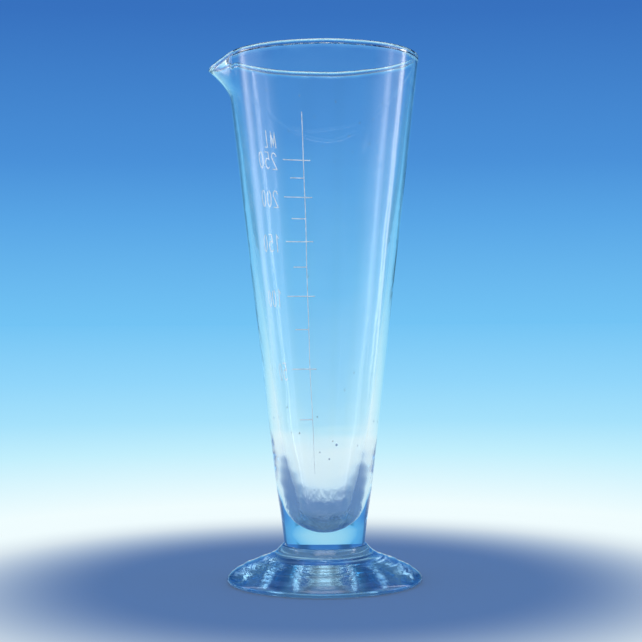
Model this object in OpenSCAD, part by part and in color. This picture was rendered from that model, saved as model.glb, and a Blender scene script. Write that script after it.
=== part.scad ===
// Conical glass graduate: a blown cone with a pulled pouring lip, fused to a solid glass foot.
// The axis is Z, the foot rests on Z = 0, and the lip pours towards -X.
// The scale is engraved in the outside of the wall, each mark at the height that its volume fills.

/* [Bowl] */
// Height of the rim above the table
total_h = 210; // [190:1:240]
// Outer diameter of the bowl at the rim
rim_d = 77.8; // [70:0.2:90]
// Height above the table of the bend where the cone turns into the stem
bend_z = 37; // [30:0.5:44]
// Outer diameter of the bowl at that bend
bend_d = 38.6; // [36:0.2:44]
// Diameter of the solid stem where it is fused to the foot
stem_d = 32; // [28:0.2:34]
// Thickness of the wall at the rim
rim_wall = 1.4; // [1.2:0.1:3]
// Thickness of the round bead that the rim is melted to
bead_d = 2.1; // [1.6:0.1:3]
// Thickness of the wall at the bend
bend_wall = 4.6; // [3:0.1:5]

/* [Hollow] */
// Solid glass between the foot and the lowest point of the hollow
bottom_t = 5.8; // [4:0.1:9]
// Height over which the floor of the hollow rounds up into the wall
round_h = 12; // [8:0.5:16]
// Fullness of that rounding: 2 is half an ellipse, more is flatter
fullness = 3.4; // [2:0.1:5]
// Extra thickness of the wall at its heel, level with the floor of the hollow
heel_t = 4.8; // [2:0.1:6]
// Height over which that extra thickness fades out
heel_h = 40; // [30:1:60]

/* [Pouring lip] */
// How far the lip is pulled out past the rim
lip_reach = 6.9; // [4:0.1:9]
// How far the tip of the lip drops below the rim
lip_drop = 4.6; // [2:0.1:6]
// How far below the rim the pull starts
lip_depth = 15.5; // [12:0.5:20]
// Angle round the rim from the tip of the lip to its shoulder
lip_half_angle = 24; // [18:1:40]
// Bend of the lip's underside: 1 is straight, 2 strongly hollow
lip_curl = 1.35; // [1:0.05:2]

/* [Foot] */
// How far the foot stands out past the rim
foot_over = 0.3; // [-4:0.1:6]
// Height of the seat on top of the foot, where the stem is fused on
foot_h = 14.8; // [12:0.2:18]
// Width of the step that the foot's collar leaves round the stem
collar_step = 0.9; // [0.5:0.1:2.5]
// Height of the collar above the domed part of the foot
collar_h = 3.2; // [2:0.1:4.5]
// Rounding of the collar's upper edge
collar_round = 0.6; // [0.2:0.1:0.8]
// Height of the widest part of the foot's edge
edge_h = 1; // [0.5:0.1:1.6]
// Width of the rounding under that edge
edge_round = 1.7; // [0.6:0.1:2.5]

/* [Scale] */
// Volume at the top mark, in millilitres
capacity = 250; // [150:50:250]
// Volume between two long marks
long_step = 50; // [50:50:100]
// Direction of the scale line, from +X towards +Y
scale_angle = 104.3; // [60:0.1:120]
// Height of the lower end of the scale line
line_z = 38.5; // [38:0.5:60]
// Gap between the upper end of the scale line and the start of the lip
line_top_gap = 0.8; // [0.5:0.1:10]
// Width of an engraved line
engrave_w = 0.4; // [0.25:0.05:0.6]
// Depth of an engraved line
engrave_t = 0.15; // [0.1:0.05:0.3]
// Length of a long mark on the numerals' side of the scale line
long_len = 9.9; // [7:0.1:11]
// Length of a long mark on the other side
long_tail = 3.2; // [1:0.1:5]
// Length of a short mark
short_len = 6.5; // [3:0.1:9]
// Gap between a long mark and its numeral
numeral_gap = 3.4; // [2:0.1:4]
// Height of a numeral
digit_h = 7; // [5:0.1:8]
// Width of a digit
digit_w = 2.5; // [2:0.1:3]
// Distance from one digit to the next
digit_pitch = 3.9; // [3.6:0.1:4.5]
// Part of a numeral's height that stands above its mark
numeral_rise = 0.35; // [0.2:0.05:0.6]
// Distance from the top mark up to the foot of the unit mark
unit_rise = 4.6; // [3.5:0.1:6]

/* [Hidden] */
$fn = 96;

rim_r = rim_d / 2;
bend_r = bend_d / 2;
stem_r = stem_d / 2;
foot_r = rim_r + foot_over;
collar_r = stem_r + collar_step;
bead_r = bead_d / 2;
bead_end = 180 + acos(min(1, max(-0.5, (rim_wall - bead_r) / bead_r)));
rim_z = total_h - bead_r;
lip_base_z = rim_z - lip_depth;
lip_angle = 180;
hollow_z = foot_h + bottom_t;
line_top_z = lip_base_z - line_top_gap;

// Steps that the curves are drawn with
foot_steps = 24;
edge_steps = 5;
hollow_steps = 18;
heel_steps = 12;
corner_steps = 4;
lip_rows = 7;
bead_steps = 8;
lip_columns = 96;
volume_steps = 400;
// Powers that shape the domed top of the foot and its hollow neck
dome_power = 0.58;
neck_power = 8;
// Power that shapes the thickening of the wall at its heel
heel_power = 1.6;
// Radius of the flat at the lowest point of the hollow
hollow_flat_r = 0.5;
// Step between the turned wall and the drawn lip, and how far the lip is rooted in the wall
lip_inset = 0.05;
lip_root = 0.5;
lip_root_z = lip_base_z - lip_root;
// How far a cutter reaches past the glass
groove_over = 0.6;
// Depth of the block that a digit is cut from, each side of the wall's surface
digit_block = 1.5;

// Radius of the straight flank of the bowl, outside and inside
function flank_r(z, low, high) = low + (high - low) * (z - bend_z) / (rim_z - bend_z);
function outer_r(z) = flank_r(z, bend_r, rim_r);
function inner_r(z) = flank_r(z, bend_r - bend_wall, rim_r - rim_wall);
function rounding(z) = sqrt(1 - pow(1 - min(1, (z - hollow_z) / round_h), fullness));
function heel(z) = heel_t * pow(max(0, 1 - (z - hollow_z) / heel_h), heel_power);
function hollow_r(z) = (inner_r(z) - heel(z)) * rounding(z);

// Filled volume in millilitres against height, and the height of a mark
slice_h = (lip_base_z - hollow_z) / volume_steps;
function slice_z(i) = hollow_z + i * slice_h;
function slice_ml(i) = PI * pow(hollow_r(slice_z(i + 0.5)), 2) * slice_h / 1000;
volume_table = [for (i = 0, v = 0; i <= volume_steps; v = v + slice_ml(i), i = i + 1) [v, slice_z(i)]];
function mark_z(ml) = lookup(ml, volume_table);
function on_line(ml) = mark_z(ml) > line_z + engrave_w && mark_z(ml) < line_top_z - engrave_w;
long_ml = [for (ml = [long_step : long_step : capacity]) if (on_line(ml)) ml];
short_ml = [for (ml = [long_step / 2 : long_step : capacity]) if (on_line(ml)) ml];
top_ml = max(long_ml);

// Angle that a length takes up round the outside of the wall at height z
function arc_deg(len, z) = len / outer_r(z) * 180 / PI;

// Pull of the lip at an angle round the rim and a height below it
function lip_turn(a) = abs(a - lip_angle) / lip_half_angle;
function lip_round(a) = lip_turn(a) < 1 ? pow(cos(90 * lip_turn(a)), 2) : 0;
function lip_rise(z) = max(0, 1 - max(0, rim_z - z) / lip_depth);
function lip_pull(a, z) = lip_round(a) * pow(lip_rise(z), lip_curl);
function lip_point(p, a) =
    let (pull = lip_pull(a, p[1]), r = p[0] + lip_reach * pull)
    [r * cos(a), r * sin(a), p[1] - lip_drop * pull];

// Section of the wall from just below the lip, up the outside, over the bead and down the inside
lip_section = concat(
    [[outer_r(lip_root_z) - lip_inset, lip_root_z]],
    [for (i = [0 : lip_rows - 1])
        let (z = lip_base_z + lip_depth * i / lip_rows) [outer_r(z) - lip_inset, z]],
    [for (i = [0 : bead_steps])
        let (t = bead_end * i / bead_steps)
        [rim_r - bead_r + (bead_r - lip_inset) * cos(t), rim_z + bead_r * sin(t)]],
    [for (i = [lip_rows - 1 : -1 : 0])
        let (z = lip_base_z + lip_depth * i / lip_rows) [inner_r(z) + lip_inset, z]],
    [[inner_r(lip_root_z) + lip_inset, lip_root_z]]);

// Rim and pouring lip, as one skin drawn round the axis
module lip_band() {
    rows = len(lip_section);
    points = [for (j = [0 : lip_columns - 1]) for (p = lip_section) lip_point(p, 360 * j / lip_columns)];
    function at(j, i) = (j % lip_columns) * rows + i % rows;
    faces = [for (j = [0 : lip_columns - 1]) for (i = [0 : rows - 1])
        for (half = [0, 1]) half == 0
            ? [at(j, i), at(j, i + 1), at(j + 1, i)]
            : [at(j + 1, i), at(j, i + 1), at(j + 1, i + 1)]];
    polyhedron(points, faces);
}

// Stem, flank and hollow below the lip
module turned_wall() {
    flank = [for (z = [bend_z, lip_base_z]) [outer_r(z), z]];
    heel_z = [for (i = [heel_steps : -1 : 1]) hollow_z + round_h + (heel_h - round_h) * i / heel_steps];
    floor_z = [for (i = [hollow_steps : -1 : 0]) hollow_z + round_h * pow(i / hollow_steps, 2)];
    hollow = [for (z = concat(heel_z, floor_z)) [max(hollow_flat_r, hollow_r(z)), z]];
    rotate_extrude()
        polygon(concat(
            [[0, foot_h], [stem_r, foot_h]], flank, [[inner_r(lip_base_z), lip_base_z]], hollow,
            [[0, hollow_z]]));
}

// Engraved line round the wall at height z, between two angles and half_h to each side of z
module ring_mark(z, from, to, half_h, over, under = 0) {
    low = z - half_h;
    high = z + half_h;
    depth = engrave_t + under;
    rotate([0, 0, from])
        rotate_extrude(angle = to - from)
            polygon([
                [outer_r(low) - depth, low], [outer_r(low) + over, low],
                [outer_r(high) + over, high], [outer_r(high) - depth, high]]);
}

// Half of the scale line's width, as an angle that is the same all the way up
half_line = arc_deg(engrave_w / 2, line_top_z);

module line_cut(over, under = 0) {
    ring_mark((line_z + line_top_z) / 2, scale_angle - half_line, scale_angle + half_line,
        (line_top_z - line_z) / 2, over, under);
}

// The marks cross the scale line or start on it
module long_cuts(over) {
    for (ml = long_ml) {
        z = mark_z(ml);
        ring_mark(z, scale_angle - arc_deg(long_tail, z), scale_angle + arc_deg(long_len, z),
            engrave_w / 2, over);
    }
}

module short_cuts(over) {
    for (ml = short_ml) {
        z = mark_z(ml);
        ring_mark(z, scale_angle, scale_angle + arc_deg(short_len, z), engrave_w / 2, over);
    }
}

// Marks without the part of them that is the scale line
module beside_line() {
    difference() {
        children();
        line_cut(groove_over, groove_over);
    }
}

// Strokes of the figures, on a box one wide and one high
function glyph(c) =
    c == "0" ? [for (a = [100 : 40 : 420]) [0.5 + 0.5 * cos(a), 0.5 + 0.5 * sin(a)]] :
    c == "1" ? [[0.15, 0.8], [0.55, 1], [0.55, 0]] :
    c == "2" ? concat([for (a = [170 : -45 : -10]) [0.5 + 0.5 * cos(a), 0.74 + 0.26 * sin(a)]],
                      [[0.05, 0], [1, 0]]) :
    c == "5" ? concat([[0.9, 1], [0.15, 1], [0.08, 0.56]],
                      [for (a = [110 : -50 : -140]) [0.45 + 0.5 * cos(a), 0.32 + 0.32 * sin(a)]]) :
    c == "m" ? [[0, 0], [0.12, 0.8], [0.5, 0.2], [0.88, 0.8], [1, 0]] :
    [[0.3, 1], [0.3, 0], [0.85, 0]];

// Outline of a stroke of even width along a row of points
function across(v) = [-v[1], v[0]] / norm(v);
function joint_across(p, i) =
    let (before = across(p[max(i, 1)] - p[max(i, 1) - 1]),
         after = across(p[min(i + 1, len(p) - 1)] - p[min(i + 1, len(p) - 1) - 1]))
    (before + after) / (1 + before * after);
function stroke_outline(p) = concat(
    [for (i = [0 : len(p) - 1]) p[i] + joint_across(p, i) * engrave_w / 2],
    [for (i = [len(p) - 1 : -1 : 0]) p[i] - joint_across(p, i) * engrave_w / 2]);

// Figures of a text from one angle onwards, with their feet at height z, cut to the engraving's depth
module figures(text_chars, z, over) {
    start = scale_angle + arc_deg(long_len + numeral_gap, z);
    middle = z + digit_h / 2;
    intersection() {
        ring_mark(middle, start - arc_deg(digit_w, z), start + arc_deg(digit_pitch * len(text_chars), z),
            digit_h, over);
        for (k = [0 : len(text_chars) - 1]) {
            size = [digit_w, digit_h];
            points = [for (p = glyph(text_chars[k])) [(p[0] - 0.5) * size[0], (p[1] - 0.5) * size[1]]];
            rotate([0, 0, start + arc_deg(digit_w / 2 + digit_pitch * k, z)])
                translate([outer_r(middle) - digit_block, 0, middle])
                    rotate([90, 0, 90])
                        linear_extrude(2 * digit_block)
                            polygon(stroke_outline(points));
        }
    }
}

module numeral_cuts(over) {
    for (ml = long_ml)
        figures(str(ml), mark_z(ml) - digit_h * (1 - numeral_rise), over);
}

module unit_cut(over) {
    figures("ml", mark_z(top_ml) + unit_rise, over);
}

module foot() {
    dome_h = foot_h - collar_h - edge_h;
    edge = [for (i = [0 : edge_steps - 1])
        let (q = 90 * i / edge_steps)
        [foot_r - edge_round * (1 - sin(q)), edge_h * (1 - cos(q))]];
    top_end = 1 - 0.6 * collar_round / (foot_r - collar_r);
    top = [for (i = [0 : foot_steps])
        let (t = top_end * pow(i / foot_steps, 1.5))
        [foot_r + (collar_r - foot_r) * t,
         edge_h + dome_h * pow(t, dome_power) + collar_h * pow(t, neck_power)]];
    corner = [for (i = [1 : corner_steps])
        let (u = i / corner_steps)
        top[foot_steps] * pow(1 - u, 2) + [collar_r, foot_h] * 2 * u * (1 - u)
            + [collar_r - collar_round, foot_h] * u * u];
    color([0.80, 0.91, 0.95, 0.5])
        rotate_extrude()
            polygon(concat([[0, 0]], edge, top, corner, [[0, foot_h]]));
}

module bowl() {
    color([0.83, 0.93, 0.97, 0.4])
        difference() {
            union() {
                turned_wall();
                lip_band();
            }
            line_cut(groove_over);
            long_cuts(groove_over);
            short_cuts(groove_over);
            numeral_cuts(groove_over);
            unit_cut(groove_over);
        }
}

module scale_line() { color("white") line_cut(0); }
module long_marks() { color("white") beside_line() long_cuts(0); }
module short_marks() { color("white") beside_line() short_cuts(0); }
module numerals() { color("white") numeral_cuts(0); }
module unit_mark() { color("white") unit_cut(0); }

foot();
bowl();
scale_line();
long_marks();
short_marks();
numerals();
unit_mark();
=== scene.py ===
import math
import bpy
import numpy as np
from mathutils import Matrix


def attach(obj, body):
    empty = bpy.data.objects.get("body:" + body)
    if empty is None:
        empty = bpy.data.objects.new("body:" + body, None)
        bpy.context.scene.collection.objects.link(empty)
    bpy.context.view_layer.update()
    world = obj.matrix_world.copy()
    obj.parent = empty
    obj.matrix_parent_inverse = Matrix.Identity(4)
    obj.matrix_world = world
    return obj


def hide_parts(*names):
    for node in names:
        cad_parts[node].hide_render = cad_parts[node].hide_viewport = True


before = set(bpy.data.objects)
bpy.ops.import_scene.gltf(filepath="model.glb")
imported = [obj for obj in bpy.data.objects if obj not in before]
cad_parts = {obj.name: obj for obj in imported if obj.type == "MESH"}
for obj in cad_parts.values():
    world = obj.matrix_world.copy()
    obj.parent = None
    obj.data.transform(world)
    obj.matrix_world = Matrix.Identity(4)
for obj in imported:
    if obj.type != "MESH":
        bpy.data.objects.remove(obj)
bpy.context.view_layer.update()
print("frame loaded:", len(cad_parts), "nodes")

mm = 0.001                      # shapes are worked out in millimetres
fullTurn = 2 * math.pi
sharpFrom = math.radians(38)    # edges that turn by more than this stay crisp
anyBounce = (0.0, 0.5)          # a ray's count of bounces, from none to one or more


# Shader maths: a wire is a socket, and + - * / ** on it add Math nodes
class Wire:
    def __init__(self, bench, socket):
        self.bench = bench
        self.socket = socket

    def maths(self, operation, *values):
        sockets = dict(enumerate(values))
        return self.bench.add("ShaderNodeMath", {"operation": operation}, sockets)

    def __add__(self, other):
        return self.maths("ADD", self, other)

    def __radd__(self, other):
        return self.maths("ADD", other, self)

    def __sub__(self, other):
        return self.maths("SUBTRACT", self, other)

    def __rsub__(self, other):
        return self.maths("SUBTRACT", other, self)

    def __mul__(self, other):
        return self.maths("MULTIPLY", self, other)

    def __rmul__(self, other):
        return self.maths("MULTIPLY", other, self)

    def __truediv__(self, other):
        return self.maths("DIVIDE", self, other)

    def __rtruediv__(self, other):
        return self.maths("DIVIDE", other, self)

    def __pow__(self, other):
        return self.maths("POWER", self, other)

    def __neg__(self):
        return self.maths("MULTIPLY", self, -1.0)

    # 0 below low, 1 above high, and a soft S between them
    def step(self, low, high):
        settings = {"interpolation_type": "SMOOTHSTEP"}
        return self.bench.add("ShaderNodeMapRange", settings, {0: self, 1: low, 2: high})


# A bench makes the nodes of one material or world
class Bench:
    def __init__(self, holder):
        holder.use_nodes = True
        self.tree = holder.node_tree
        self.tree.nodes.clear()

    # Adds a node: its settings first, a ramp's stops among them, then its sockets' values or links
    def add(self, kind, settings=None, sockets=None, out=0):
        node = self.tree.nodes.new(kind)
        for name, value in (settings or {}).items():
            if name == "stops":
                ramp = node.color_ramp
                while len(ramp.elements) < len(value):
                    ramp.elements.new(0.5)
                for element, (place, colour) in zip(ramp.elements, value):
                    element.position = place
                    element.color = (*colour, 1.0)
            else:
                setattr(node, name, value)
        for name, value in (sockets or {}).items():
            if isinstance(value, Wire):
                self.tree.links.new(value.socket, node.inputs[name])
            else:
                node.inputs[name].default_value = value
        return Wire(self, node.outputs[out]) if node.outputs else node

    # Another output of the node that a wire comes from
    def other(self, wire, name):
        return Wire(self, wire.socket.node.outputs[name])

    # Object coordinates of the piece
    def objectPlace(self):
        return self.other(self.add("ShaderNodeTexCoord"), "Object")

    # The x, y and z of a vector
    def axes(self, vector):
        x = self.add("ShaderNodeSeparateXYZ", None, {0: vector})
        return x, self.other(x, "Y"), self.other(x, "Z")

    # Smooth noise round a half, with more fine layers for more detail
    def noise(self, place, scale, detail):
        return self.add("ShaderNodeTexNoise", None, {"Vector": place, "Scale": scale, "Detail": detail})

    # Colour between two others, by a share from 0 to 1
    def mixed(self, share, low, high):
        sockets = {0: share, 6: (*low, 1), 7: (*high, 1)}
        return self.add("ShaderNodeMix", {"data_type": "RGBA"}, sockets, out=2)


# A new object at the origin, with its place in its mesh
def addMesh(name, points, faces):
    mesh = bpy.data.meshes.new(name)
    mesh.from_pydata(points.tolist(), [], faces)
    piece = bpy.data.objects.new(name, mesh)
    bpy.context.scene.collection.objects.link(piece)
    return piece


# Surfaces of revolution: rows of a section, turned round the axis, with a single point at each pole
# Extra points and faces are closed shells of their own in the same piece
def turnedMesh(name, x, y, z, extra=None):
    rows, columns = x.shape
    ring = np.stack([x, y, z], axis=-1)
    points = np.concatenate([ring[:1, 0], ring[1:-1].reshape(-1, 3), ring[-1:, 0]])
    index = 1 + np.arange((rows - 2) * columns).reshape(rows - 2, columns)
    turned = np.roll(index, -1, axis=1)
    quads = np.stack([index[:-1], turned[:-1], turned[1:], index[1:]], axis=-1).reshape(-1, 4)
    low = np.stack([np.zeros(columns, int), turned[0], index[0]], axis=-1)
    high = np.stack([np.full(columns, len(points) - 1), index[-1], turned[-1]], axis=-1)
    faces = quads.tolist() + low.tolist() + high.tolist()
    if extra is not None:
        faces += (extra[1] + len(points)).tolist()
        points = np.concatenate([points, extra[0]])
    piece = addMesh(name, points * mm, faces)
    piece.data.shade_smooth()
    piece.data.set_sharp_from_angle(angle=sharpFrom)
    return piece


# Even steps from low to high without the last point
def upTo(low, high, steps):
    return np.linspace(low, high, steps + 1)[:-1]


# Even steps from low to high without the first point
def past(low, high, steps):
    return np.linspace(low, high, steps + 1)[1:]


# Sum of waves, each row of which is height, turns round the axis, waves per millimetre and phase
def ripples(angle, height, waves):
    total = np.zeros(np.broadcast(angle, height).shape)
    for size, turns, perMm, phase in waves:
        total = total + size * np.sin(turns * angle + fullTurn * perMm * height + phase)
    return total


# Smooth noise from -1 to 1: random values on a grid that closes round the axis, eased between its points
def pebbles(angle, height, seed, cellsRound, cellSize, cellsUp=256):
    chance = np.random.default_rng(seed)
    u = (angle / fullTurn * cellsRound) % cellsRound
    v = height / cellSize
    grid = chance.uniform(-1, 1, (cellsRound, cellsUp))
    i, j = np.floor(u).astype(int) % cellsRound, np.floor(v).astype(int) % (cellsUp - 1)
    fu, fv = u - np.floor(u), v - np.floor(v)
    fu, fv = fu * fu * (3 - 2 * fu), fv * fv * (3 - 2 * fv)
    k = (i + 1) % cellsRound
    low = grid[i, j] * (1 - fu) + grid[k, j] * fu
    high = grid[i, j + 1] * (1 - fu) + grid[k, j + 1] * fu
    return low * (1 - fv) + high * fv


# Bowl; a grain is a seed, the cells round the axis and the size of a cell
bowlSet = dict(
    rimZ=208.95, rimR=38.9, bendZ=37.0, bendR=19.3, stemR=16.0, seatZ=14.8,
    rimWall=1.4, bendWall=4.6, beadD=2.1,
    hollowZ=20.6, roundH=12.0, fullness=3.4, heelT=4.8, heelH=40.0, heelPower=1.6,
    lipReach=6.9, lipDrop=4.6, lipDepth=15.5, lipHalf=24.0, lipCurl=1.35,
    sink=0.24,                                          # depth of the polished wall behind the frosted lines
    tuck=0.08,                                          # how far the stem runs into the foot
    outerWaves=[(0.030, 2, 0.006, 0.4), (0.022, 3, -0.011, 1.7), (0.010, 5, 0.021, 3.0)],
    innerWaves=[(0.050, 2, 0.008, 2.1), (0.030, 3, 0.013, 0.3), (0.014, 7, -0.026, 4.2)],
    drawnWaves=[(0.010, 1, 0.110, 0.6), (0.008, 2, 0.190, 2.2)],
    outerTrim=0.03,                                     # the outside's waves are cut off above this
    waveFrom=16.0, waveOver=8.0, waveCalm=6.0,          # no waves at the seat or near the axis
    handWave=0.010, handGrain=(3, 44, 7.0),             # small lumps of a hand-worked wall
    wellDepth=0.07, wellTop=37.0, wellFade=10.0,        # pebbled skin of the well
    wellGrain=(5, 34, 2.1), wellPart=0.5, wellFine=(8, 96, 0.8),
    dropGrain=(11, 48, 0.8), dropCalm=4.0,
    rimLump=0.10, rimDepth=3.0, rimFade=2.0, rimOutside=0.3,    # uneven melting of the rim
    acrossGrain=(21, 64, 3.0), upGrain=(22, 52, 9.0), broadGrain=(23, 15, 9.0), broadPart=0.6,
    baseRings=(0, 5, 9, 12.5, 14.8), columns=240,
    stemRows=12, flankRows=70, lipRows=18, beadRows=19, upperRows=47, lowerRows=79, roundRows=44,
    closeFrom=62.0,                                     # rows of the hollow lie closer below this
    beadTuck=1.6,                                       # where the wall goes on under the bead, in its radius
    beadOutside=7,                                      # rows of the bead that count as outside
)


# Radius of the straight flank at a height: even growth from the bend to the rim
def flankRadius(z, low, high):
    s = bowlSet
    return low + (high - low) * (z - s["bendZ"]) / (s["rimZ"] - s["bendZ"])


# Radius of the hollow above its round floor: the flank without the wall,
# less a heel that thickens as a power of the depth
def hollowRadius(z):
    s = bowlSet
    heel = s["heelT"] * np.clip(1 - (z - s["hollowZ"]) / s["heelH"], 0, 1) ** s["heelPower"]
    return flankRadius(z, s["bendR"] - s["bendWall"], s["rimR"] - s["rimWall"]) - heel


# Section of the bowl from its lower pole up the outside, over the round bead and down into the hollow,
# whose floor is a full half oval
def bowlSection():
    s = bowlSet
    lipZ = s["rimZ"] - s["lipDepth"]
    bead = s["beadD"] / 2
    beadEnd = math.pi + math.acos((s["rimWall"] - bead) / bead)
    floorZ = s["seatZ"] - s["tuck"]
    baseR = np.array(s["baseRings"])
    stemZ = upTo(floorZ, s["bendZ"], s["stemRows"])
    stemR = s["stemR"] + (s["bendR"] - s["stemR"]) * (stemZ - s["seatZ"]) / (s["bendZ"] - s["seatZ"])
    outZ = np.concatenate([upTo(s["bendZ"], lipZ, s["flankRows"]), upTo(lipZ, s["rimZ"], s["lipRows"])])
    outR = flankRadius(outZ, s["bendR"], s["rimR"])
    turn = np.linspace(0, beadEnd, s["beadRows"])
    beadR = s["rimR"] - bead + bead * np.cos(turn)
    beadZ = s["rimZ"] + bead * np.sin(turn)
    roundZ = s["hollowZ"] + s["roundH"]
    inZ = np.concatenate([
        np.linspace(s["rimZ"] - s["beadTuck"] * bead, lipZ, s["lipRows"]),
        past(lipZ, s["closeFrom"], s["upperRows"]),
        past(s["closeFrom"], roundZ, s["lowerRows"]),
        s["hollowZ"] + s["roundH"] * past(1, 0, s["roundRows"]) ** 2])
    up = np.clip((inZ - s["hollowZ"]) / s["roundH"], 0, 1)
    inR = hollowRadius(inZ) * np.sqrt(1 - (1 - up) ** s["fullness"])
    r = np.concatenate([baseR, stemR, outR, beadR, inR])
    z = np.concatenate([np.full(len(baseR), floorZ), stemZ, outZ, beadZ, inZ])
    outside = np.arange(len(r)) < len(baseR) + len(stemZ) + len(outZ) + s["beadOutside"]
    return r, z, outside


# Pull of the lip: a squared cosine round the rim, times the height above its start to the power of its curl
def lipPull(angle, z):
    s = bowlSet
    away = np.abs((np.degrees(angle) % 360) - 180) / s["lipHalf"]
    roundPull = np.where(away < 1, np.cos(np.minimum(away, 1) * math.pi / 2) ** 2, 0)
    up = np.clip(1 - np.maximum(0, s["rimZ"] - z) / s["lipDepth"], 0, 1)
    return roundPull * up ** s["lipCurl"]


# Seed bubbles in the wall: angle from +X in degrees, height, part of the way out through the wall,
# size and stretch
seedSet = [
    (-84.0, 50.5, 0.45, 0.34, 1.0), (-76.0, 56.0, 0.50, 0.42, 1.2), (-80.5, 57.5, 0.62, 0.24, 1.0),
    (-118.0, 60.5, 0.40, 0.26, 1.4), (-97.0, 67.0, 0.55, 0.20, 1.8), (-131.0, 70.5, 0.50, 0.22, 1.5),
    (-60.0, 84.0, 0.50, 0.18, 2.2), (-102.0, 121.0, 0.50, 0.16, 2.6), (-70.0, 168.0, 0.45, 0.16, 1.6),
    (-12.0, 64.0, 0.50, 0.30, 1.4), (28.0, 52.0, 0.45, 0.36, 1.1), (63.0, 75.0, 0.55, 0.22, 1.6),
    (96.0, 48.0, 0.50, 0.28, 1.2), (141.0, 58.0, 0.40, 0.34, 1.3), (172.0, 88.0, 0.50, 0.20, 2.0),
    (205.0, 66.0, 0.55, 0.26, 1.5), (20.0, 140.0, 0.50, 0.16, 2.4), (130.0, 182.0, 0.50, 0.15, 1.8),
    (-104.0, 189.0, 0.50, 0.20, 1.2), (-95.0, 181.0, 0.40, 0.18, 1.5), (-82.0, 186.5, 0.55, 0.22, 1.1),
    (-66.0, 179.0, 0.50, 0.20, 1.3), (-73.0, 174.0, 0.45, 0.22, 1.2), (-58.0, 171.5, 0.50, 0.20, 1.6),
    (-90.0, 170.0, 0.60, 0.16, 1.2), (-112.0, 176.0, 0.50, 0.18, 1.3), (-50.0, 187.0, 0.50, 0.18, 1.2),
    (-126.0, 192.0, 0.45, 0.20, 1.2), (8.0, 176.0, 0.50, 0.20, 1.4), (52.0, 188.0, 0.50, 0.20, 1.2),
    (81.0, 171.0, 0.50, 0.18, 1.4), (158.0, 171.0, 0.50, 0.20, 1.3), (220.0, 184.0, 0.45, 0.20, 1.2),
]
seedCells = 4                           # along each edge of a bubble's cube grid
seedFlips = (1, -1, -1, 1, 1, -1)       # which sides of the cube are turned round


# Each bubble is a cube grid pushed out to a sphere and stretched along the wall,
# with its faces turned to the air in it
def makeSeeds():
    line = np.arange(seedCells + 1)
    grid = np.stack(np.meshgrid(line, line, indexing="ij"), axis=-1).reshape(-1, 2)
    sides = [np.insert(grid, axis, end, axis=1) for axis in range(3) for end in (0, seedCells)]
    corners, inverse = np.unique(np.concatenate(sides), axis=0, return_inverse=True)
    cell = np.arange(len(grid)).reshape(len(line), len(line))
    quad = np.stack([cell[:-1, :-1], cell[1:, :-1], cell[1:, 1:], cell[:-1, 1:]], axis=-1).reshape(-1, 4)
    shell = inverse.reshape(len(sides), -1)
    faces = np.concatenate([side[quad[:, ::flip]] for side, flip in zip(shell, seedFlips)])
    ball = corners - seedCells / 2
    ball = ball / np.linalg.norm(ball, axis=1)[:, None]
    angle, z, depth, size, stretch = np.array(seedSet).T
    angle = np.radians(angle)
    inner = hollowRadius(z)
    outer = flankRadius(z, bowlSet["bendR"], bowlSet["rimR"])
    r = inner + (outer - inner) * depth
    middle = np.stack([r * np.cos(angle), r * np.sin(angle), z], axis=-1)
    spread = np.stack([size, size, size * stretch], axis=-1)
    points = (middle[:, None] + ball[None] * spread[:, None]).reshape(-1, 3)
    faces = (faces[None] + len(ball) * np.arange(len(z))[:, None, None]).reshape(-1, 4)
    return points, faces


# Bowl surface: the section turned round, waved by hand, pebbled in the well, melted unevenly at the rim
# and pulled at the lip
def makeBowl():
    s = bowlSet
    r, z, outside = bowlSection()
    angle = np.linspace(0, fullTurn, s["columns"], endpoint=False)[None, :]
    r, z, outside = r[:, None], z[:, None], outside[:, None]
    free = np.clip((z - s["waveFrom"]) / s["waveOver"], 0, 1) * np.minimum(1, r / s["waveCalm"])
    lumps = s["handWave"] * pebbles(angle, z, *s["handGrain"])
    outWave = ripples(angle, z, s["outerWaves"] + s["drawnWaves"])
    outWave = np.minimum(0, outWave - s["outerTrim"]) + lumps - s["sink"]
    inWave = ripples(angle, z, s["innerWaves"] + s["drawnWaves"]) + lumps
    well = np.clip((s["wellTop"] - z) / s["wellFade"], 0, 1) * s["wellDepth"]
    rough = s["wellPart"] * pebbles(angle, z, *s["wellGrain"]) + pebbles(angle, z, *s["wellFine"])
    shift = np.where(outside, outWave, inWave + well * rough) * free
    bumps = well * pebbles(angle, r, *s["dropGrain"]) * np.minimum(1, r / s["dropCalm"])
    drop = np.where(outside, 0, bumps)
    melt = s["rimLump"] * np.clip((z - s["rimZ"] + s["rimDepth"]) / s["rimFade"], 0, 1)
    melt = melt * np.where(outside, s["rimOutside"], 1)
    shift = shift + melt * pebbles(angle, z, *s["acrossGrain"])
    lift = pebbles(angle, z, *s["upGrain"]) + s["broadPart"] * pebbles(angle, z, *s["broadGrain"])
    drop = drop + melt * lift
    pull = lipPull(angle, z)
    radius = r + shift + s["lipReach"] * pull
    height = z + drop - s["lipDrop"] * pull
    x, y = radius * np.cos(angle), radius * np.sin(angle)
    piece = turnedMesh("blownBowl", x, y, np.broadcast_to(height, x.shape), makeSeeds())
    print("bowl:", len(piece.data.polygons), "faces")
    return piece


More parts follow.
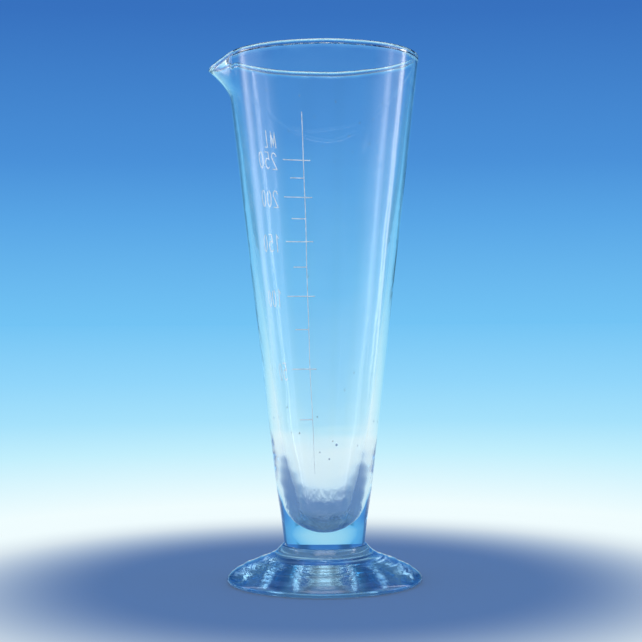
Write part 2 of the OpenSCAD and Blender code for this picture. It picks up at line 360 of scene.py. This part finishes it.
# Foot
footSet = dict(
    footR=39.2, seatZ=14.8, collarR=16.9, collarH=3.2, edgeH=1.0, edgeRound=1.7,
    domePower=0.58, neckPower=8, collarRound=0.6, collarShort=0.6,
    waves=[(0.030, 2, 0.02, 1.1), (0.025, 3, 0.05, 0.2), (0.012, 6, 0.08, 2.9)],
    swirl=[(0.055, 1, 0.21, 0.4), (0.036, 2, 0.34, 1.9), (0.020, 3, 0.55, 0.7)],
    rings=[(0.075, 0, 0.33, 0.6), (0.045, 1, 0.62, 2.2)],
    ringsTo=30.0, ringsFade=10.0,                       # rings are for the inner part of the top
    underCalm=1.5, seatCalm=2.0, edgeCalm=6.0,          # no waves at the underside, the seat or the edge
    columns=240, underRows=13, edgeRows=8, topRows=60, topCrowd=1.5, collarRows=8, seatRows=8,
)


# Foot surface: flat underside, round edge, and a top that rises as two powers of the way in to the collar
# The collar's upper edge is rounded as a square curve between the flank, the corner and the seat
def makeFoot():
    s = footSet
    under = upTo(0, s["footR"] - s["edgeRound"], s["underRows"])
    q = upTo(0, math.pi / 2, s["edgeRows"])
    edgeR = s["footR"] - s["edgeRound"] * (1 - np.sin(q))
    edgeZ = s["edgeH"] * (1 - np.cos(q))
    t = np.linspace(0, 1, s["topRows"] + 1) ** s["topCrowd"]
    t = t * (1 - s["collarShort"] * s["collarRound"] / (s["footR"] - s["collarR"]))
    domeH = s["seatZ"] - s["collarH"] - s["edgeH"]
    topR = s["footR"] + (s["collarR"] - s["footR"]) * t
    topZ = s["edgeH"] + domeH * t ** s["domePower"] + s["collarH"] * t ** s["neckPower"]
    u = past(0, 1, s["collarRows"])
    seatR = s["collarR"] - s["collarRound"]
    cornerR = topR[-1] * (1 - u) ** 2 + s["collarR"] * 2 * u * (1 - u) + seatR * u ** 2
    cornerZ = topZ[-1] * (1 - u) ** 2 + s["seatZ"] * (1 - (1 - u) ** 2)
    seat = cornerR[-1] * past(1, 0, s["seatRows"])
    r = np.concatenate([under, edgeR, topR, cornerR, seat])[:, None]
    z = np.concatenate([np.zeros(len(under)), edgeZ, topZ, cornerZ, np.full(len(seat), s["seatZ"])])[:, None]
    angle = np.linspace(0, fullTurn, s["columns"], endpoint=False)[None, :]
    onTop = np.clip(z / s["underCalm"], 0, 1) * np.clip((s["seatZ"] - z) / s["seatCalm"], 0, 1)
    radius = r + ripples(angle, z, s["waves"]) * onTop
    inwards = np.clip((s["ringsTo"] - r) / s["ringsFade"], 0, 1)
    swept = ripples(angle, r, s["swirl"]) + ripples(angle, r, s["rings"]) * inwards
    height = z + swept * onTop * np.clip((s["footR"] - r) / s["edgeCalm"], 0, 1)
    x, y = radius * np.cos(angle), radius * np.sin(angle)
    piece = turnedMesh("domedFoot", x, y, height)
    print("foot:", len(piece.data.polygons), "faces")
    return piece


# Glass; lengths here are in metres
glassSet = dict(
    ior=1.5,
    clear=(0.985, 0.995, 1.0), streak=(0.955, 0.985, 0.995),
    footClear=(0.98, 0.993, 0.998), footStreak=(0.94, 0.975, 0.985),
    cordScale=(90, 90, 14), cordDetail=3.0, cordStep=(0.45, 0.75),          # streaks drawn out up the wall
    smears=70.0, smearDetail=4.0, smearStep=(0.5, 0.8), smear=0.012,        # marks of handling
    depthTint=(0.26, 0.69, 0.88), depthRate=20.0,                           # tint that grows with the depth
    ground=0.10, groundZ=0.0003,                                            # dull underside of the foot
    pits=1350.0, pitDetail=2.0, pitted=0.7, pitDepth=0.00035,               # sugary skin in the well
    wellR=(0.0125, 0.0145), wellLow=(0.018, 0.020), wellHigh=(0.024, 0.033),
    chips=300.0, chipDetail=1.0, chipStep=(0.40, 0.58), chipZ=(0.2084, 0.2094), chipped=0.32,   # rubbed rim
)


# Clear glass: faint streaks drawn out along the wall tint it, smears of handling dull its polish,
# and its depth takes a little of the red
# The underside that it rests on is ground dull, the well is pitted, and the rim's top is rubbed in places
def glassMaterial(name, clear, streak):
    s = glassSet
    material = bpy.data.materials.new(name)
    b = Bench(material)
    place = b.objectPlace()
    drawn = b.add("ShaderNodeMapping", None, {"Vector": place, "Scale": s["cordScale"]})
    cords = b.noise(drawn, 1.0, s["cordDetail"])
    tint = b.mixed(cords.step(*s["cordStep"]), clear, streak)
    touch = b.noise(place, s["smears"], s["smearDetail"])
    x, y, height = b.axes(place)
    under = 1 - height.step(0.0, s["groundZ"])
    well = 1 - ((x * x + y * y) ** 0.5).step(*s["wellR"])
    well = well * height.step(*s["wellLow"]) * (1 - height.step(*s["wellHigh"]))
    pits = b.noise(place, s["pits"], s["pitDetail"])
    relief = b.add("ShaderNodeBump", None,
                   {"Strength": s["pitted"], "Distance": s["pitDepth"], "Height": pits * well})
    rubbed = b.noise(place, s["chips"], s["chipDetail"])
    rim = rubbed.step(*s["chipStep"]) * height.step(*s["chipZ"])
    dull = touch.step(*s["smearStep"]) * s["smear"] + under * s["ground"] + rim * s["chipped"]
    shader = b.add("ShaderNodeBsdfPrincipled", None, {
        "Base Color": tint, "Roughness": dull, "IOR": s["ior"], "Transmission Weight": 1.0,
        "Normal": relief})
    depth = b.add("ShaderNodeVolumeAbsorption", None,
                  {"Color": (*s["depthTint"], 1), "Density": s["depthRate"]})
    b.add("ShaderNodeOutputMaterial", None, {"Surface": shader, "Volume": depth})
    return material


# Engraving
engravedNodes = ("scale_line", "long_marks", "short_marks", "numerals", "unit_mark")
engravingSet = dict(
    frost=(0.99, 0.99, 0.99), shade=(0.90, 0.92, 0.94),
    grain=2600.0, grainDetail=2.0, grainStep=(0.35, 0.7), polish=0.5, grainDull=0.3,
    breaks=420.0, breakDetail=3.0, breakStep=(0.35, 0.6), thin=0.68,
    scatter=0.004,
)


# Ground glass in the cuts: pale grains that pass light on, with breaks where the cut runs thin
def engravingMaterial():
    s = engravingSet
    material = bpy.data.materials.new("frostedEngraving")
    b = Bench(material)
    place = b.objectPlace()
    grain = b.noise(place, s["grain"], s["grainDetail"])
    breaks = b.noise(place, s["breaks"], s["breakDetail"])
    tint = b.mixed(grain.step(*s["grainStep"]), s["shade"], s["frost"])
    cover = s["thin"] + (1 - s["thin"]) * breaks.step(*s["breakStep"])
    dull = s["polish"] + s["grainDull"] * grain
    shader = b.add("ShaderNodeBsdfPrincipled", None, {
        "Base Color": tint, "Roughness": dull, "Alpha": cover, "Subsurface Weight": 1.0,
        "Subsurface Radius": (1.0, 1.0, 1.0), "Subsurface Scale": s["scatter"]})
    b.add("ShaderNodeOutputMaterial", None, {"Surface": shader})
    return material


# Stage, in metres
stageSet = dict(
    skyStops=[(0.0, (0.17, 0.55, 0.91)), (0.5, (0.17, 0.55, 0.91)), (0.535, (0.10, 0.38, 0.79)),
              (0.556, (0.068, 0.28, 0.69)), (0.607, (0.038, 0.165, 0.52)), (0.75, (0.045, 0.14, 0.38)),
              (0.87, (0.24, 0.32, 0.44)), (1.0, (0.64, 0.66, 0.62))],
    gaps=8, gapLevel=0.50,
    domeColour=(0.96, 0.98, 1.0), domeLevel=1.5,
    farStops=[(0.0, (0.17, 0.55, 0.91)), (0.23, (0.28, 0.67, 0.96)), (0.38, (0.38, 0.76, 0.975)),
              (0.5, (0.54, 0.865, 0.985)), (0.70, (0.87, 0.985, 1.0)), (0.78, (0.87, 0.975, 1.0)),
              (0.87, (0.46, 0.68, 0.95))],
    halfWay=0.57,                                       # distance at the middle of farStops
    # the floor is painted darker round the foot, out to the end of its shade
    floorColour=(0.014, 0.058, 0.19), paleNear=0.16, paintedShadeFrom=0.085, paintedShadeTo=0.200,
    floorReach=40.0, floorZ=-0.0002,
)


# Surroundings: a ramp by height, light blue at the horizon, deeper above it and pale overhead
# Rays that have met the glass see darker gaps round the horizon too, by the cosine of the bearing,
# and matt surfaces are lit by an even pale dome
def makeWorld():
    s = stageSet
    world = bpy.data.worlds.new("paleRoom")
    bpy.context.scene.world = world
    b = Bench(world)
    x, y, z = b.axes(b.other(b.add("ShaderNodeTexCoord"), "Generated"))
    sky = b.add("ShaderNodeValToRGB", {"stops": s["skyStops"]}, {0: z * 0.5 + 0.5})
    bearing = b.add("ShaderNodeMath", {"operation": "ARCTAN2"}, {0: x, 1: y})
    wave = b.add("ShaderNodeMath", {"operation": "COSINE"}, {0: bearing * s["gaps"]})
    gap = 1 - (1 - s["gapLevel"]) * (-wave).step(0.0, 1.0)
    seen = b.add("ShaderNodeLightPath")
    lit = b.other(seen, "Diffuse Depth").step(*anyBounce)
    strength = seen + (1 - seen) * gap
    glow = b.add("ShaderNodeBackground", None, {"Color": sky, "Strength": strength})
    dome = b.add("ShaderNodeBackground", None, {"Color": (*s["domeColour"], 1), "Strength": s["domeLevel"]})
    both = b.add("ShaderNodeMixShader", None, {0: lit, 1: glow, 2: dome})
    b.add("ShaderNodeOutputWorld", None, {"Surface": both})


# Floor: a soft painted shade round the foot, where more of the dark cloth shows and the cloth also takes the
# object's real shadow, then white, and melting into the horizon further out
# Its colour goes by half way over half way plus the distance, which is 1 at the foot and 0 at the horizon
def makeFloor():
    s = stageSet
    corners = np.array([(-1, -1, 0), (1, -1, 0), (1, 1, 0), (-1, 1, 0)]) * s["floorReach"]
    floor = addMesh("studioFloor", corners + np.array([0, 0, s["floorZ"]]), [(0, 1, 2, 3)])
    material = bpy.data.materials.new("paleFloor")
    b = Bench(material)
    away = b.add("ShaderNodeVectorMath", {"operation": "LENGTH"}, {0: b.objectPlace()}, out=1)
    near = s["halfWay"] / (away + s["halfWay"])
    far = b.add("ShaderNodeValToRGB", {"stops": s["farStops"]}, {0: near})
    path = b.add("ShaderNodeLightPath")
    through = b.other(path, "Is Glossy Ray") + b.other(path, "Is Transmission Ray")
    cloth = b.add("ShaderNodeBsdfDiffuse", None, {"Color": (*s["floorColour"], 1)})
    glow = b.add("ShaderNodeEmission", None, {"Color": far, "Strength": 1.0})
    # Painted shade round the foot: near the axis only a small pale share of glow mixes in, so the dark cloth
    # shows more there
    pale = s["paleNear"] + (1 - s["paleNear"]) * away.step(s["paintedShadeFrom"], s["paintedShadeTo"])
    share = pale * (path + through)
    both = b.add("ShaderNodeMixShader", None, {0: share, 1: cloth, 2: glow})
    b.add("ShaderNodeOutputMaterial", None, {"Surface": both})
    floor.data.materials.append(material)


# A panel of light from a grid of points, met by reflected rays only
# Its share of the light is worked out from x, y and z on it
def hangPanel(name, points, level, shareAt):
    rows, columns = points.shape[:2]
    index = np.arange(rows * columns).reshape(rows, columns)
    quads = np.stack([index[:-1, :-1], index[:-1, 1:], index[1:, 1:], index[1:, :-1]], axis=-1)
    panel = addMesh(name, points.reshape(-1, 3), quads.reshape(-1, 4).tolist())
    material = bpy.data.materials.new(name)
    b = Bench(material)
    x, y, z = b.axes(b.objectPlace())
    reflected = b.other(b.add("ShaderNodeLightPath"), "Glossy Depth").step(*anyBounce)
    share = reflected * shareAt(b, x, y, z)
    clear = b.add("ShaderNodeBsdfTransparent")
    lamp = b.add("ShaderNodeEmission", None, {"Color": (1, 1, 1, 1), "Strength": level})
    both = b.add("ShaderNodeMixShader", None, {0: share, 1: clear, 2: lamp})
    b.add("ShaderNodeOutputMaterial", None, {"Surface": both})
    panel.data.materials.append(material)
    panel.visible_camera = False
    panel.visible_diffuse = False
    panel.visible_shadow = False


# Side panels: parts of the light by degrees from the front, faded towards the floor and the top
panelSet = dict(
    reach=0.25, top=0.40, fromFront=50.0, toBack=120.0, columns=29, level=4.2, lowFade=0.08, highFade=0.22,
    left=[(55, 0.0), (68, 0.05), (80, 0.13), (92, 0.16), (97, 0.25), (101, 0.55), (104, 0.50),
          (109, 0.08), (115, 0.0)],
    right=[(60, 0.0), (72, 0.08), (80, 0.16), (84, 0.45), (88, 0.18), (98, 0.16), (103, 0.30),
           (106, 1.0), (108, 0.90), (111, 0.10), (116, 0.0)],
)


# Side panel: an upright part of a drum round the axis, with soft streaks of light
def makeSidePanel(name, side, light):
    s = panelSet
    turn = np.radians(np.linspace(s["fromFront"], s["toBack"], s["columns"]))[None, :]
    z = np.array([0.0, s["top"]])[:, None]
    drum = np.broadcast_arrays(side * s["reach"] * np.sin(turn), -s["reach"] * np.cos(turn), z)
    span = s["toBack"] - s["fromFront"]
    stops = [((degrees - s["fromFront"]) / span, (part, part, part)) for degrees, part in light]

    def shareAt(b, x, y, z):
        angle = b.add("ShaderNodeMath", {"operation": "ARCTAN2"}, {0: x * side, 1: -y})
        along = (angle - math.radians(s["fromFront"])) / math.radians(span)
        glow = b.add("ShaderNodeValToRGB", {"stops": stops}, {0: along})
        return glow * z.step(0.0, s["lowFade"]) * (1 - z.step(s["highFade"], s["top"]))

    hangPanel(name, np.stack(drum, axis=-1), s["level"], shareAt)


# Front panel: degrees above the rim and to each side, and fades by height and by distance aside
frontSet = dict(
    middle=0.20, reach=0.5, low=30, high=82, wide=60, rows=9, columns=13, level=3.0,
    lowFade=(0.48, 0.58), highFade=(0.66, 0.692), sideFade=(0.10, 0.26),
)


# Front panel: a part of a ball round the rim's middle, high in front of it
def makeFrontPanel():
    s = frontSet
    rise = np.radians(np.linspace(s["low"], s["high"], s["rows"]))[:, None]
    turn = np.radians(np.linspace(-s["wide"], s["wide"], s["columns"]))[None, :]
    ball = np.broadcast_arrays(np.cos(rise) * np.sin(turn), -np.cos(rise) * np.cos(turn), np.sin(rise))
    points = np.stack(ball, axis=-1) * s["reach"] + np.array([0, 0, s["middle"]])

    def shareAt(b, x, y, z):
        aside = b.add("ShaderNodeMath", {"operation": "ABSOLUTE"}, {0: x})
        return z.step(*s["lowFade"]) * (1 - z.step(*s["highFade"])) * (1 - aside.step(*s["sideFade"]))

    hangPanel("frontPanel", points, s["level"], shareAt)


# Soft lamps for the frosted marks and the floor
lampSet = [
    dict(name="leftLamp", place=(-0.80, -0.12, 0.20), size=(0.40, 0.70), power=1.3),
    dict(name="rightLamp", place=(0.81, -0.07, 0.20), size=(0.34, 0.70), power=1.6),
    dict(name="overhead", place=(0.0, -0.20, 1.60), size=(1.20, 1.20), power=4.0),
]
lampAim = (0, 0, 0.11)      # the point on the axis that they all face


def makeLamps():
    for s in lampSet:
        light = bpy.data.lights.new(s["name"], "AREA")
        light.shape = "RECTANGLE"
        light.size, light.size_y = s["size"]
        light.energy = s["power"]
        lamp = bpy.data.objects.new(s["name"], light)
        lamp.location = s["place"]
        aim = np.array(lampAim) - np.array(s["place"])
        flat = math.hypot(aim[0], aim[1])
        lamp.rotation_euler = (math.atan2(flat, -aim[2]), 0, math.atan2(-aim[0], aim[1]))
        lamp.visible_camera = False
        lamp.visible_transmission = False
        lamp.visible_glossy = False
        bpy.context.scene.collection.objects.link(lamp)


# Camera: level, 0.57 m in front of the axis, with a slight roll
cameraSet = dict(
    place=(-0.00096, -0.5697, 0.104), lens=79.6, sensor=36.0, roll=0.0052, nearest=0.01, furthest=200.0,
)


def makeCamera():
    s = cameraSet
    view = bpy.data.cameras.new("camera")
    view.lens, view.sensor_width, view.sensor_fit = s["lens"], s["sensor"], "HORIZONTAL"
    view.clip_start, view.clip_end = s["nearest"], s["furthest"]
    camera = bpy.data.objects.new("camera", view)
    camera.location = s["place"]
    camera.rotation_euler = (math.pi / 2, s["roll"], 0)
    bpy.context.scene.collection.objects.link(camera)
    bpy.context.scene.camera = camera


# Thick glass passes light on many times before it leaves
bounceSet = dict(max_bounces=96, transmission_bounces=96, glossy_bounces=48)
for limit, count in bounceSet.items():
    setattr(bpy.context.scene.cycles, limit, count)
bpy.context.scene.view_settings.view_transform = "Standard"
makeCamera()
makeWorld()
makeFloor()
makeLamps()
makeSidePanel("leftPanel", -1, panelSet["left"])
makeSidePanel("rightPanel", 1, panelSet["right"])
makeFrontPanel()
print("stage set")

bowl = makeBowl()
bowl.data.materials.append(glassMaterial("clearGlass", glassSet["clear"], glassSet["streak"]))
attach(bowl, "root")
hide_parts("bowl")

foot = makeFoot()
foot.data.materials.append(glassMaterial("footGlass", glassSet["footClear"], glassSet["footStreak"]))
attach(foot, "root")
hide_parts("foot")

frost = engravingMaterial()
for node in engravedNodes:
    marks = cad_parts[node]
    marks.data.materials.clear()
    marks.data.materials.append(frost)
print("engraving frosted")
